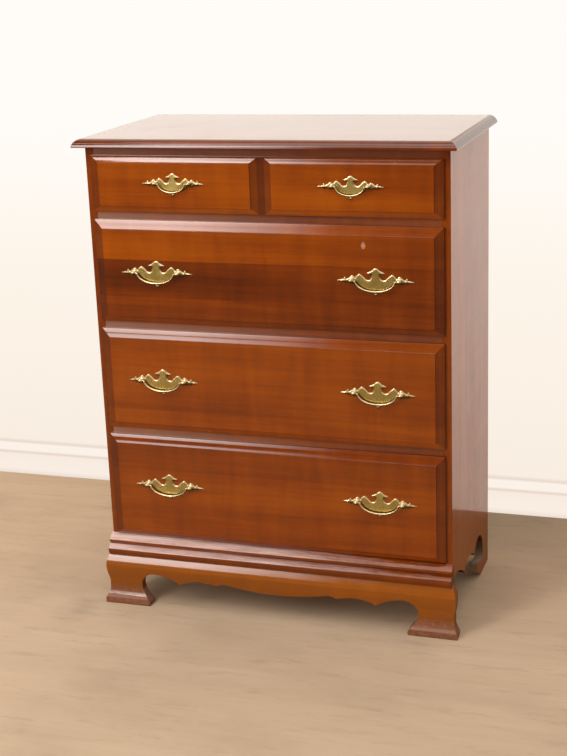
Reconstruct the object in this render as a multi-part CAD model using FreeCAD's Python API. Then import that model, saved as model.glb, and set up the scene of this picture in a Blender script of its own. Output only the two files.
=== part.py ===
"""Chest of four drawers, the top one with two raised fields, on a shaped apron with bracket feet.

Millimetres, +Z up.  Every piece is drawn with y = 0 on the plane of the case front and z = 0 on the
floor, and moved at the end so that the origin is under the middle of the whole chest.
"""
import FreeCAD, Part
import math
import os

Vector = FreeCAD.Vector

# Case
CASE_WIDTH = 796.0
CASE_DEPTH = 411.0
CASE_HEIGHT = 1055.0          # underside of the top board
SIDE_THICKNESS = 19.0
BACK_THICKNESS = 6.0
BACK_RABBET = 10.0            # how far the back reaches into each side
BACK_BOTTOM = 104.0
RAIL_THICKNESS = 21.0
RAIL_DEPTH = 50.0
REAR_RAIL_DEPTH = 25.0
RUNNER_WIDTH = 40.0

# Top board
TOP_THICKNESS = 18.0
TOP_SIDE_OVERHANG = 19.0
TOP_FRONT_OVERHANG = 31.0
TOP_BEAD = 8.0                # height of the round bead at the edge
TOP_MOULD = 19.0              # width of the moulded edge

# Base
MOULDING_TOP = 165.0
APRON_TOP = 117.0
MOULDING_END = 401.0
TOE_REACH = 32.0              # how far the toes stand in front of the case
FOOT_BLOCK = 30.0
BLOCK_LIFT = 4.0              # gap under a foot's glue block

# Drawers
FIRST_RIM = 1036.0            # top edge of the top drawer's front
FRONT_HEIGHTS = (121.0, 226.0, 229.0, 241.0)
RAIL_SHOWING = 17.0           # strip of rail between one front and the next
FRONT_HALF_WIDTH = 385.0
VALLEY = 12.0                 # flat strip between the top drawer's two fields
RIM_REACH = 6.0               # a front's rim, ahead of the case
FIELD_REACH = 13.0            # a front's flat field, ahead of the case
FRONT_BACK = 6.0              # a front's inner face, behind the plane of the case front
LIP_CLEARANCE = 0.5
LIP_OVERLAP = 5.0             # the top lip over the rail
BOTTOM_CLEARANCE = 1.0
TOP_CLEARANCE = 1.5
SIDE_CLEARANCE = 2.0
BEVEL_TOP = 20.0
BEVEL_TOP_SMALL = 13.0        # on the low front of the top drawer
BEVEL_SIDE = 19.0
BEVEL_VALLEY = 17.5
BEVEL_BOTTOM = 14.0
RIM_WIDTH = 1.2               # eased outer edge of a front
RIM_EASE = 0.3                # how much of it the middle facet's corner cuts away
BEVEL_STEP = 1.6              # height of the step up to the field
BEVEL_STEP_WIDTH = 0.4
BOX_THICKNESS = 12.0
BOX_BACK = 372.0
BOX_HEADROOM = 6.0
BOX_FOOT = 0.7                # the sides run this much below the front
BOTTOM_THICKNESS = 5.0
BOTTOM_HEIGHT = 9.0
GROOVE = 5.0
GROOVE_PLAY = 0.1

# Pulls: a stamped back plate, two ball posts and a hanging bail
WIDE_PULL_X = 243.5
SMALL_PULL_X = 194.5
WIDE_PULL_DROP = 112.0        # posts below the front's top edge
SMALL_PULL_DROP = 56.0
WIDE_BORING = 101.6
SMALL_BORING = 76.2
SMALL_SCALE_X = 0.86          # the small plate against the large one
SMALL_SCALE_Z = 0.83
PLATE_THICKNESS = 3.0
POST_REACH = 11.0             # ball centre ahead of the field
BALL_RADIUS = 5.2
SMALL_BALL_RADIUS = 4.3
SHANK_RADIUS = 2.0
HOLE_RADIUS = 2.2
COLLAR_RADIUS = 3.4
NUT_RADIUS = 4.6
NUT_HEIGHT = 3.2
BAIL_RADIUS = 1.9
BAIL_DEPTH = 22.0             # from the posts down to the middle of the bow
SMALL_BAIL_RADIUS = 1.6
PIN_RADIUS = 1.3
PIN_PLAY = 0.05
PIN_DEPTH = 3.6
BORE_EXTRA = 0.2              # the bore is this much deeper than the pin
BALL_SEAT = 0.6               # how far into the ball its collar goes, as a part of the radius
BAIL_GAP = 1.6                # between a ball and the bail's end
BAIL_CORNERS = 8              # corners that are rounded into a bail's half ellipse
BAIL_SOFTNESS = 0.45          # part of the shorter run beside a corner that its arc takes

# Screws through the back
SCREW_HEAD_RADIUS = 3.6
SCREW_RADIUS = 1.9
SCREW_LENGTH = 22.0
SCREW_HEAD_HEIGHT = 2.4
SCREW_PLACES = (-0.843, -0.333, 0.333, 0.843)   # along a rail, as parts of its half length

# Worked out
HALF = CASE_WIDTH / 2
INNER = HALF - SIDE_THICKNESS
BOX_HALF_WIDTH = INNER - SIDE_CLEARANCE
MIDDLE_Y = (CASE_DEPTH - TOE_REACH) / 2
REAR_RAIL_FRONT = CASE_DEPTH - BACK_THICKNESS - REAR_RAIL_DEPTH


def box(x0, x1, y0, y1, z0, z1):
    return Part.makeBox(x1 - x0, y1 - y0, z1 - z0, Vector(x0, y0, z0))


def pin(radius, start, end):
    """A cylinder from one point to another."""
    axis = end - start
    return Part.makeCylinder(radius, axis.Length, start, axis)


def face(place, start, steps):
    """A face whose outline is drawn with 2D points.

    A step is a point, for a straight stretch, or a pair of points, an arc's middle and end.
    """
    edges = []
    here = start
    for step in list(steps) + [start]:
        middle, end = step if isinstance(step[0], tuple) else (None, step)
        if end == here:
            continue
        if middle:
            edges.append(Part.Arc(place(*here), place(*middle), place(*end)).toShape())
        else:
            edges.append(Part.LineSegment(place(*here), place(*end)).toShape())
        here = end
    return Part.Face(Part.Wire(edges))


def rounded(points, radii):
    """A wire of straight runs joined by tangent arcs at the points between its ends."""
    edges = []
    here = points[0]
    for before, corner, after, radius in zip(points, points[1:], points[2:], radii):
        into, out = (corner - before).normalize(), (after - corner).normalize()
        half_turn = into.getAngle(out) / 2
        reach = radius * math.tan(half_turn)
        start, end = corner - into * reach, corner + out * reach
        middle = corner + (out - into).normalize() * radius * (1 / math.cos(half_turn) - 1)
        edges.append(Part.LineSegment(here, start).toShape())
        edges.append(Part.Arc(start, middle, end).toShape())
        here = end
    edges.append(Part.LineSegment(here, points[-1]).toShape())
    return Part.Wire(edges)


def soft_radii(points):
    """For each point between the ends, the radius of an arc that takes nearly half the shorter run."""
    radii = []
    for before, corner, after in zip(points, points[1:], points[2:]):
        into, out = corner - before, after - corner
        radii.append(BAIL_SOFTNESS * min(into.Length, out.Length) / math.tan(into.getAngle(out) / 2))
    return radii


def mirrored(half_steps):
    """The steps of an outline's other half, walked back from the end to the start, x reversed."""
    points = [half_steps[0]]
    middles = []
    for step in half_steps[1:]:
        middle, end = step if isinstance(step[0], tuple) else (None, step)
        middles.append(middle)
        points.append(end)
    back = []
    for index in range(len(points) - 2, -1, -1):
        end = (-points[index][0], points[index][1])
        middle = middles[index]
        back.append(((-middle[0], middle[1]), end) if middle else end)
    return back


def save(name, shape):
    solid = shape.removeSplitter() if len(shape.Solids) == 1 else shape
    solid.translate(Vector(0, -MIDDLE_Y, 0))
    solid.exportStep("parts/%s.step" % name)


# Rows of drawers -----------------------------------------------------------------------------

def rows():
    """Top and bottom edge of the drawer fronts, row by row from the top."""
    edges = []
    top = FIRST_RIM
    for height in FRONT_HEIGHTS:
        edges.append((top, top - height))
        top -= height + RAIL_SHOWING
    return edges


ROWS = rows()


def opening(row):
    """Top and bottom of the opening that a row's drawer slides in."""
    top, bottom = ROWS[row]
    return top - LIP_OVERLAP, bottom - BOTTOM_CLEARANCE


# Case ----------------------------------------------------------------------------------------

def top_board():
    half = HALF + TOP_SIDE_OVERHANG
    front = -TOP_FRONT_OVERHANG
    low, high = CASE_HEIGHT, CASE_HEIGHT + TOP_THICKNESS
    board = box(-half, half, front, CASE_DEPTH, low, high)
    radius = TOP_BEAD / 2
    near, far = radius * (1 - math.cos(math.pi / 4)), radius * (1 + math.sin(math.pi / 4))
    over = [((near, far), (2.4, 7.67)), (2.4, 9.0), ((8.6, 14.6), (TOP_MOULD, TOP_THICKNESS)),
            (TOP_MOULD, TOP_THICKNESS + 5), (-5, TOP_THICKNESS + 5), (-5, radius)]
    under = [((near, near), (radius, 0)), (radius, -5), (-5, -5), (-5, radius)]
    for steps in (over, under):
        front_cut = face(lambda d, z: Vector(-half - 5, front + d, low + z), (0, radius), steps)
        board = board.cut(front_cut.extrude(Vector(2 * half + 10, 0, 0)))
        for side in (-1, 1):
            side_cut = face(lambda d, z: Vector(side * (half - d), front - 5, low + z), (0, radius), steps)
            board = board.cut(side_cut.extrude(Vector(0, CASE_DEPTH - front + 10, 0)))
    return board


def side_panel(side):
    """A side whose lower edge rises from the front in scallops to an arch over the rear foot's beak."""
    place = lambda y, z: Vector(side * INNER, y, z)
    panel = face(place, (0, 127), [
        (37, 127), ((90, 112), (131, 87)), (133, 98), ((160, 107), (192, 103)), ((224, 95), (249, 80)),
        (252, 92), ((286, 108), (325, 97)), ((341, 78), (346, 52)), ((343.5, 38), (333, 34)),
        ((306, 39.5), (283, 47)), ((275.5, 46), (277, 38)), ((291, 20), (316, 5)), (318, 0),
        (CASE_DEPTH, 0), (CASE_DEPTH, CASE_HEIGHT), (0, CASE_HEIGHT)])
    panel = panel.extrude(Vector(side * SIDE_THICKNESS, 0, 0))
    near, far = sorted((side * INNER, side * (INNER + BACK_RABBET)))
    rabbet = box(near, far, CASE_DEPTH - BACK_THICKNESS, CASE_DEPTH, BACK_BOTTOM, CASE_HEIGHT)
    return panel.cut(rabbet)


def back_panel():
    half = INNER + BACK_RABBET
    return box(-half, half, CASE_DEPTH - BACK_THICKNESS, CASE_DEPTH, BACK_BOTTOM, CASE_HEIGHT)


def rail_levels():
    """Top and bottom of the rails: under the top board, between the rows, and under the last row."""
    levels = [(CASE_HEIGHT, opening(0)[0])]
    for row in range(len(ROWS)):
        top = opening(row)[1]
        levels.append((top, top - RAIL_THICKNESS))
    return levels


def front_rail(level):
    top, bottom = rail_levels()[level]
    return box(-INNER, INNER, 0, RAIL_DEPTH, bottom, top)


def rear_rail(level):
    top, bottom = rail_levels()[level]
    return box(-INNER, INNER, REAR_RAIL_FRONT, REAR_RAIL_FRONT + REAR_RAIL_DEPTH, bottom, top)


def side_runners(side):
    """Four strips on one side, one below each drawer, from the front rail to the rear rail."""
    near, far = sorted((side * INNER, side * (INNER - RUNNER_WIDTH)))
    return [box(near, far, RAIL_DEPTH, REAR_RAIL_FRONT, bottom, top) for top, bottom in rail_levels()[1:]]


def base_moulding():
    """Two beads with sloping tops, the lower one further out, along the front above the apron."""
    section = face(lambda y, z: Vector(-MOULDING_END, y, z), (0, MOULDING_TOP), [
        (-1, MOULDING_TOP), (-17.5, 154), ((-18.5, 153), (-18.5, 151.6)), (-18.5, 148.5), (-13.5, 143.5),
        (-13.5, 142.5), (-26, 135.8), ((-27.3, 134.4), (-27.5, 132.5)), ((-26.6, 124), (-21.5, APRON_TOP)),
        (0, APRON_TOP)])
    return section.extrude(Vector(2 * MOULDING_END, 0, 0))


def base_apron():
    """The front board: an ogee face, a scalloped lower edge and a bracket foot at each end."""
    reach = 450.0
    section = face(lambda y, z: Vector(-reach, y, z), (0, APRON_TOP), [
        (-21, APRON_TOP), ((-26.2, 113), (-28, 104)), (-28, 94), ((-24.6, 76), (-20.5, 62)),
        ((-19.7, 46), (-21, 32)), ((-24.7, 22.8), (-TOE_REACH + 0.5, 15.5)), (-TOE_REACH, 14.5),
        (-TOE_REACH, 2), (-TOE_REACH + 2, 0), (0, 0)])
    half = [(0, 57), ((78, 63), (122, 72)), (139, 67), ((188, 71.8), (231, 61.5)), ((253, 72), (286, 80)),
            ((312, 74), (327, 58)), ((328.4, 43), (321, 26)), (309, 10), ((309, 4), (312, 0)), (412, 0),
            (414, 2), (414, 12), ((408.5, 22), (405.2, 33)), (405.5, 54), ((409.6, 76), (408, 104)),
            (403.5, APRON_TOP)]
    both = half[1:] + [(-half[-1][0], APRON_TOP)] + mirrored(half)
    outline = face(lambda x, z: Vector(x, -reach, z), half[0], both).extrude(Vector(0, 2 * reach, 0))
    return section.extrude(Vector(2 * reach, 0, 0)).common(outline)


def foot_block(side):
    """Glue block that joins a front foot to the side, up to the bottom rail."""
    near, far = sorted((side * INNER, side * (INNER - FOOT_BLOCK)))
    return box(near, far, 0, FOOT_BLOCK, BLOCK_LIFT, rail_levels()[-1][1])


def back_screws():
    """Countersunk screws, flush with the back, into the rear rails."""
    screws = []
    for top, bottom in rail_levels():
        for part in SCREW_PLACES:
            head = Vector(part * INNER, CASE_DEPTH, (top + bottom) / 2)
            cone = Part.makeCone(SCREW_HEAD_RADIUS, SCREW_RADIUS, SCREW_HEAD_HEIGHT, head, Vector(0, -1, 0))
            screws.append(cone.fuse(pin(SCREW_RADIUS, head - Vector(0, SCREW_HEAD_HEIGHT, 0),
                                        head - Vector(0, SCREW_LENGTH, 0))))
    return screws


# Drawers -------------------------------------------------------------------------------------

def bevel_slope(run):
    """From the rim up to the foot of the step: distance from the rim, and reach."""
    return [(0, RIM_REACH), (run, FIELD_REACH - BEVEL_STEP)]


def bevel_section(place, width):
    """What a bevel takes off a front: an eased rim, a flat slope and a small step."""
    outer = FIELD_REACH + 2
    slope = [(RIM_WIDTH + d, reach) for d, reach in bevel_slope(width - RIM_WIDTH - BEVEL_STEP_WIDTH)]
    return face(place, (0, RIM_REACH - RIM_WIDTH), [
        (RIM_EASE * RIM_WIDTH, RIM_REACH - RIM_EASE * RIM_WIDTH)] + slope + [
        (width, FIELD_REACH - BEVEL_STEP), (width, outer), (-2, outer), (-2, RIM_REACH - RIM_WIDTH)])


def valley_section(place):
    """What is cut away between the two fields of the top drawer: a flat strip and a slope each side."""
    outer = FIELD_REACH + 2
    edge = VALLEY / 2 + BEVEL_VALLEY
    slope = [(VALLEY / 2 + d, reach) for d, reach in bevel_slope(BEVEL_VALLEY - BEVEL_STEP_WIDTH)]
    half = slope + [(edge, FIELD_REACH - BEVEL_STEP), (edge, outer)]
    return face(place, (-edge, outer), [(-d, reach) for d, reach in reversed(half[:-1])] + half)


def drawer_front(row):
    """A lipped front with one raised field, or two on the top drawer."""
    top, bottom = ROWS[row]
    wide = FRONT_HALF_WIDTH
    panel = box(-wide, wide, -FIELD_REACH, -LIP_CLEARANCE, bottom, top)
    along_z = Vector(0, 0, top - bottom + 10)
    along_x = Vector(2 * wide + 10, 0, 0)
    high = BEVEL_TOP if row else BEVEL_TOP_SMALL
    cuts = [
        bevel_section(lambda d, r: Vector(-wide + d, -r, bottom - 5), BEVEL_SIDE).extrude(along_z),
        bevel_section(lambda d, r: Vector(wide - d, -r, bottom - 5), BEVEL_SIDE).extrude(along_z),
        bevel_section(lambda d, r: Vector(-wide - 5, -r, bottom + d), BEVEL_BOTTOM).extrude(along_x),
        bevel_section(lambda d, r: Vector(-wide - 5, -r, top - d), high).extrude(along_x)]
    if row == 0:
        cuts.append(valley_section(lambda d, r: Vector(d, -r, bottom - 5)).extrude(along_z))
    for cut in cuts:
        panel = panel.cut(cut)
    half = BOX_HALF_WIDTH
    core = box(-half, half, -LIP_CLEARANCE, FRONT_BACK, bottom, opening(row)[0] - TOP_CLEARANCE)
    groove_end = half - BOX_THICKNESS + GROOVE
    groove = box(-groove_end, groove_end, FRONT_BACK - GROOVE, FRONT_BACK, bottom + BOTTOM_HEIGHT,
                 bottom + BOTTOM_HEIGHT + BOTTOM_THICKNESS)
    return panel.fuse(core).cut(groove)


def drawer_box(row):
    """Sides, back and bottom of the box behind a front."""
    half, inside = BOX_HALF_WIDTH, BOX_HALF_WIDTH - BOX_THICKNESS
    bottom = ROWS[row][1] - BOX_FOOT
    top = opening(row)[0] - BOX_HEADROOM
    floor = ROWS[row][1] + BOTTOM_HEIGHT
    groove_end = inside + GROOVE
    groove = box(-groove_end, groove_end, FRONT_BACK, BOX_BACK, floor, floor + BOTTOM_THICKNESS)
    panel_end = groove_end - GROOVE_PLAY
    return {
        "side_left": box(-half, -inside, FRONT_BACK, BOX_BACK, bottom, top).cut(groove),
        "side_right": box(inside, half, FRONT_BACK, BOX_BACK, bottom, top).cut(groove),
        "back": box(-inside, inside, BOX_BACK - BOX_THICKNESS, BOX_BACK, floor + BOTTOM_THICKNESS,
                    top - BOX_HEADROOM),
        "bottom": box(-panel_end, panel_end, FRONT_BACK - GROOVE + GROOVE_PLAY, BOX_BACK, floor,
                      floor + BOTTOM_THICKNESS)}


# Pulls ---------------------------------------------------------------------------------------

# Right half of the large back plate, from the tail at the bottom to the crown, about the posts' middle
PLATE_HALF = [
    (0, -32.6), ((3, -30.2), (1.6, -27)), (2.4, -21.8), ((22.5, -18.6), (36.8, -9.4)), (42, -4.6),
    ((49, -7.8), (57, -5.4)), (62.5, -4.6), (64.8, -7.4), (66.8, -4.2), (81.8, -1.2), (67.8, 2),
    ((67.4, 4.8), (65, 6.6)), (62.8, 1.8), ((56.8, 5.2), (52.6, 8.8)), ((50, 9.6), (47.4, 8.4)),
    (43.8, 4.8), ((40.6, 9.2), (37.4, 12.2)), ((34.8, 13.2), (32, 12)), ((27, 8.2), (22.8, 3.9)),
    ((17.2, 0.9), (11.8, 2.4)), ((9.2, 4.4), (8, 8)), (6.8, 12.4), ((12, 13.4), (18, 15.6)),
    ((14.2, 19), (9.8, 20.2)), ((7, 20.4), (5.4, 21.8)), ((3.2, 24.8), (0, 25.8))]


def plate(x, z, boring, scale_x, scale_z):
    """A batwing back plate with its two holes."""
    half = [tuple((px * scale_x, pz * scale_z) for px, pz in step) if isinstance(step[0], tuple)
            else (step[0] * scale_x, step[1] * scale_z) for step in PLATE_HALF]
    back = -FIELD_REACH
    outline = face(lambda u, v: Vector(x + u, back, z + v), half[0], half[1:] + mirrored(half))
    blank = outline.extrude(Vector(0, -PLATE_THICKNESS, 0))
    for side in (-1, 1):
        hole = Vector(x + side * boring / 2, back + 1, z)
        blank = blank.cut(pin(HOLE_RADIUS, hole, hole - Vector(0, PLATE_THICKNESS + 2, 0)))
    return blank


def post_and_nut(x, z, side, radius):
    """A ball-headed bolt through the front, bored for the bail's end, and its nut inside."""
    field = -FIELD_REACH
    ball_y = field - POST_REACH
    ball = Part.makeSphere(radius, Vector(x, ball_y, z))
    collar = pin(COLLAR_RADIUS, Vector(x, field - PLATE_THICKNESS, z), Vector(x, ball_y + radius * BALL_SEAT, z))
    shank = pin(SHANK_RADIUS, Vector(x, ball_y, z), Vector(x, FRONT_BACK + NUT_HEIGHT + 2, z))
    bore = pin(PIN_RADIUS + PIN_PLAY, Vector(x - side * (radius + 1), ball_y, z),
               Vector(x - side * (radius - PIN_DEPTH - BORE_EXTRA), ball_y, z))
    nut = pin(NUT_RADIUS, Vector(x, FRONT_BACK, z), Vector(x, FRONT_BACK + NUT_HEIGHT, z))
    nut = nut.cut(pin(SHANK_RADIUS, Vector(x, 0, z), Vector(x, 2 * RAIL_DEPTH, z)))
    return [ball.fuse(collar).fuse(shank).cut(bore), nut]


def bail(x, z, boring, radius, ball_radius, depth):
    """A hanging bow in the shape of half an ellipse, with a pin at each end for the posts."""
    y = -FIELD_REACH - POST_REACH
    half = boring / 2 - ball_radius - radius - BAIL_GAP
    place = lambda u, v: Vector(x + u, y, z + v)
    turn = math.pi / BAIL_CORNERS
    grow = 1 / math.cos(turn / 2)
    angles = [turn * (index + 0.5) for index in range(BAIL_CORNERS)]
    corners = [place(-half * grow * math.cos(a), -depth * grow * math.sin(a)) for a in angles]
    points = [place(-half, 0)] + corners + [place(half, 0)]
    circle = Part.Circle(points[0], points[1] - points[0], radius)
    bow = rounded(points, soft_radii(points)).makePipeShell([Part.Wire(circle.toShape())], True, True)
    for side in (-1, 1):
        end = place(side * half, 0)
        bow = bow.fuse(Part.makeSphere(radius, end))
        bow = bow.fuse(pin(PIN_RADIUS, end, place(side * (boring / 2 - ball_radius + PIN_DEPTH), 0)))
    return bow


def pulls(body, row):
    """The plates, posts and bails of one drawer; each bail is a node of its own."""
    small = row == 0
    reach, drop, boring = ((SMALL_PULL_X, SMALL_PULL_DROP, SMALL_BORING) if small
                           else (WIDE_PULL_X, WIDE_PULL_DROP, WIDE_BORING))
    ball, rod = (SMALL_BALL_RADIUS, SMALL_BAIL_RADIUS) if small else (BALL_RADIUS, BAIL_RADIUS)
    scale_x, scale_z = (SMALL_SCALE_X, SMALL_SCALE_Z) if small else (1.0, 1.0)
    z = ROWS[row][0] - drop
    plates, posts, holes = [], [], []
    for x, name in ((-reach, "left"), (reach, "right")):
        plates.append(plate(x, z, boring, scale_x, scale_z))
        for side in (-1, 1):
            posts += post_and_nut(x + side * boring / 2, z, side, ball)
            holes.append(Vector(x + side * boring / 2, 0, z))
        save("%s_bail_%s" % (body, name), bail(x, z, boring, rod, ball, BAIL_DEPTH * scale_z))
    save(body + "_pull_plates", Part.makeCompound(plates))
    save(body + "_pull_posts", Part.makeCompound(posts))
    return holes


def drawer(body, row):
    front = drawer_front(row)
    through = Vector(0, RAIL_DEPTH, 0)
    for hole in pulls(body, row):
        front = front.cut(pin(HOLE_RADIUS, hole - through, hole + through))
    save(body + "_front", front)
    for name, piece in drawer_box(row).items():
        save("%s_%s" % (body, name), piece)


def case():
    screws = Part.makeCompound(back_screws())
    save("top_board", top_board())
    save("back_panel", back_panel().cut(screws))
    for name, side in (("left", -1), ("right", 1)):
        save("side_" + name, side_panel(side))
        save("side_runners_" + name, Part.makeCompound(side_runners(side)))
        save("foot_block_" + name, foot_block(side))
    for level, name in enumerate(("top_rail", "drawer_rail_1", "drawer_rail_2", "drawer_rail_3",
                                  "bottom_rail")):
        save(name, front_rail(level))
        save("rear_rail_%d" % (level + 1), rear_rail(level).cut(screws))
    save("base_moulding", base_moulding())
    save("base_apron", base_apron())
    save("back_screws", screws)


os.makedirs("parts", exist_ok=True)
case()
for row, body in enumerate(("top_drawer", "upper_drawer", "middle_drawer", "lower_drawer")):
    drawer(body, row)
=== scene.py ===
"""Lacquered cherry chest of drawers: boards, moulded edges and batwing brass pulls."""
import functools
import math

import bmesh
import bpy
from mathutils import Matrix, Vector
from mathutils.geometry import delaunay_2d_cdt


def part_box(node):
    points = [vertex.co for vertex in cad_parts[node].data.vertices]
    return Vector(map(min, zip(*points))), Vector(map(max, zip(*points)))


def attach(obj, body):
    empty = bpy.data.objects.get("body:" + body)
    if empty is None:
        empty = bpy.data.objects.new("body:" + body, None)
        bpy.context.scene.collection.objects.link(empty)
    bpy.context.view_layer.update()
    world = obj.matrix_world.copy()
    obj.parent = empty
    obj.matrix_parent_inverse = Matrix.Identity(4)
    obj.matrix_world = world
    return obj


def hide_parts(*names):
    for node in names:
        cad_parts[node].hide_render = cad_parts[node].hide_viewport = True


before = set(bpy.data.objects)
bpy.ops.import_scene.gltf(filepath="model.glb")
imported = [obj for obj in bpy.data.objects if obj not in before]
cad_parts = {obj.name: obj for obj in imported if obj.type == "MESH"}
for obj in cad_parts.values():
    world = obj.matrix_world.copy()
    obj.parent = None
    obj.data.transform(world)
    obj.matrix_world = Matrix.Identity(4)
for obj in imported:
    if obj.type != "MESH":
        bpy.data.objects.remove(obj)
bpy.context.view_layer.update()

MM = 0.001
CASE_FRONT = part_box("side_right")[0][1]


def at(x, y, z):
    """A place in millimetres: x from the middle, y behind the face of the case, z above the floor."""
    return Vector((x * MM, CASE_FRONT + y * MM, z * MM))


def box_mm(node):
    """A node's lowest and highest corner, in the same millimetres."""
    return [(p[0] / MM, (p[1] - CASE_FRONT) / MM, p[2] / MM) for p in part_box(node)]


# Colours and finishes ------------------------------------------------------------------------

def tint(red, green, blue):
    """A colour written as 0 to 255 on a screen, as the linear values that a shader takes."""
    def linear(value):
        value /= 255
        return value / 12.92 if value <= 0.04045 else ((value + 0.055) / 1.055) ** 2.4
    return (linear(red), linear(green), linear(blue), 1.0)


def feed(tree, socket, value):
    """Links a node's output to a socket, or sets the socket to a plain value."""
    if isinstance(value, bpy.types.NodeSocket):
        tree.links.new(value, socket)
    else:
        socket.default_value = value


def add_node(tree, kind, inputs=None, output=0, **settings):
    """Adds a node with its settings and its inputs by name or number, and gives back one output."""
    node = tree.nodes.new(kind)
    for name, value in settings.items():
        setattr(node, name, value)
    for name, value in (inputs or {}).items():
        feed(tree, node.inputs[name], value)
    return node.outputs[output]


def maths(tree, operation, *values, clamp=False):
    return add_node(tree, "ShaderNodeMath", dict(enumerate(values)), operation=operation, use_clamp=clamp)


class Finish:
    """A material under way: each call adds a node and gives back its output."""

    def __init__(self, name):
        self.material = bpy.data.materials.new(name)
        self.material.use_nodes = True
        self.tree = self.material.node_tree
        self.tree.nodes.clear()
        self.surface = self.tree.nodes.new("ShaderNodeBsdfPrincipled")
        self.result = self.tree.nodes.new("ShaderNodeOutputMaterial").inputs["Surface"]
        feed(self.tree, self.result, self.surface.outputs[0])
        coordinates = self.tree.nodes.new("ShaderNodeTexCoord")
        self.place, self.facing = coordinates.outputs["Object"], coordinates.outputs["Normal"]

    def add(self, kind, inputs=None, output=0, **settings):
        return add_node(self.tree, kind, inputs, output, **settings)

    def set(self, **values):
        for name, value in values.items():
            feed(self.tree, self.surface.inputs[name.replace("_", " ")], value)

    def maths(self, operation, *values, clamp=False):
        return maths(self.tree, operation, *values, clamp=clamp)

    def vary(self, noise, amount, base):
        """The base, raised where a noise is above its middle and lowered where it is below."""
        return self.maths("MULTIPLY_ADD", self.maths("SUBTRACT", noise, 0.5), amount, base)

    def stretch(self, scale, shift=(0, 0, 0)):
        return self.add("ShaderNodeMapping", {"Vector": self.place, "Scale": scale, "Location": shift})

    def noise(self, place, scale=1.0, detail=4.0, rough=0.55, distortion=0.0):
        return self.add("ShaderNodeTexNoise", {"Vector": place, "Scale": scale, "Detail": detail,
                                               "Roughness": rough, "Distortion": distortion}, "Fac")

    def ramp(self, value, stops, stepped=False):
        """A colour or a grey for each value; stops are (value, colour or grey) pairs."""
        node = self.tree.nodes.new("ShaderNodeValToRGB")
        feed(self.tree, node.inputs[0], value)
        ramp = node.color_ramp
        ramp.interpolation = "CONSTANT" if stepped else "LINEAR"
        while len(ramp.elements) < len(stops):
            ramp.elements.new(1.0)
        for element, (position, colour) in zip(ramp.elements, stops):
            element.position = position
            element.color = colour if isinstance(colour, tuple) else (colour, colour, colour, 1.0)
        return node.outputs[0]

    def mix(self, share, first, second):
        node = self.tree.nodes.new("ShaderNodeMix")
        node.data_type = "RGBA"
        for name, value in (("Factor_Float", share), ("A_Color", first), ("B_Color", second)):
            feed(self.tree, next(s for s in node.inputs if s.identifier == name), value)
        return next(s for s in node.outputs if s.identifier == "Result_Color")

    def axis(self, letter, place=None):
        return self.add("ShaderNodeSeparateXYZ", {0: place or self.place}, letter)

    def distance(self, centre, scale):
        """Distance from a place, in metres, with each axis stretched."""
        shift = tuple(-c * s for c, s in zip(centre, scale))
        return self.add("ShaderNodeVectorMath", {0: self.stretch(scale, shift)}, "Value", operation="LENGTH")

    def point_shade(self, name):
        """A number that the mesh carries at its points, such as the painted shade."""
        return self.add("ShaderNodeAttribute", output="Fac", attribute_name=name)

    def bump(self, height, strength, distance, normal=None):
        inputs = {"Height": height, "Strength": strength, "Distance": distance}
        if normal:
            inputs["Normal"] = normal
        return self.add("ShaderNodeBump", inputs)


def grain_scale(grain, lengthwise, crosswise):
    """How tightly a noise is packed on each axis, so that it runs along the grain's."""
    return tuple(lengthwise if letter == grain else crosswise for letter in "XYZ")


CHERRY = dict(deep=tint(80, 29, 2), dark=tint(113, 45, 1), body=tint(138, 60, 0), light=tint(172, 84, 0))
# A dark brown mixed in as painted shade in recesses, creases and gaps and on faces turned sideways, and
# towards the floor on the feet.
GLAZE_AND_SHADE = tint(66, 27, 18)
STAVES_TOP = 1.1              # metres above the floor; the staves' tones are set out up to here


def stave_tones(f, tone, streaks, seams, wash):
    """Adds each stave's own tone; the seams waver a little with the streaks."""
    height = f.vary(streaks, 0.004, f.axis("Z"))
    stops = [(0.0, 0.5 + seams[0][1] / 2)]
    for (edge, _), (_, above) in zip(seams, seams[1:]):
        stops.append((edge * MM / STAVES_TOP, 0.5 + above / 2))
    share = f.maths("DIVIDE", height, STAVES_TOP)
    stave = f.maths("SUBTRACT", f.ramp(share, stops, stepped=True), 0.5)
    fading = f.maths("MULTIPLY_ADD", f.axis("X"), -1.3 * wash, 0.8 - 0.5 * wash)
    return f.maths("MULTIPLY_ADD", stave, fading, tone)


def saw_cuts(f, colour, roughness, streaks, outside):
    """Bare grey cut edges near the floor, dusted, with painted shading from dark at the top of the cuts to
    pale at the floor: the colour, roughness and coat.
    """
    low_down = f.ramp(f.axis("Z"), [(0.12, 1.0), (0.135, 0.0)])
    bare = f.maths("MULTIPLY", f.maths("SUBTRACT", 1.0, outside), low_down)
    dust_and_light = f.noise(f.place, scale=34.0, detail=4.0, rough=0.65)
    height = f.maths("MULTIPLY_ADD", f.axis("Z"), -9.0, f.maths("MULTIPLY_ADD", dust_and_light, 0.7, 0.7))
    # Painted shading on the cut faces: dark high up where they face down, pale at the floor.
    dust_and_painted_shading = f.ramp(height, [(0.2, tint(70, 38, 20)), (0.5, tint(104, 90, 66)),
                            (0.9, tint(168, 142, 118))])
    coat = f.maths("MULTIPLY_ADD", outside, -0.3, f.maths("SUBTRACT", 1.0, bare))
    coat = f.maths("MULTIPLY", coat, f.vary(streaks, 0.9, 1.0))
    roughness = f.maths("MAXIMUM", roughness, f.maths("MULTIPLY", bare, 0.8))
    return f.mix(bare, colour, dust_and_painted_shading), roughness, coat


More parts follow.
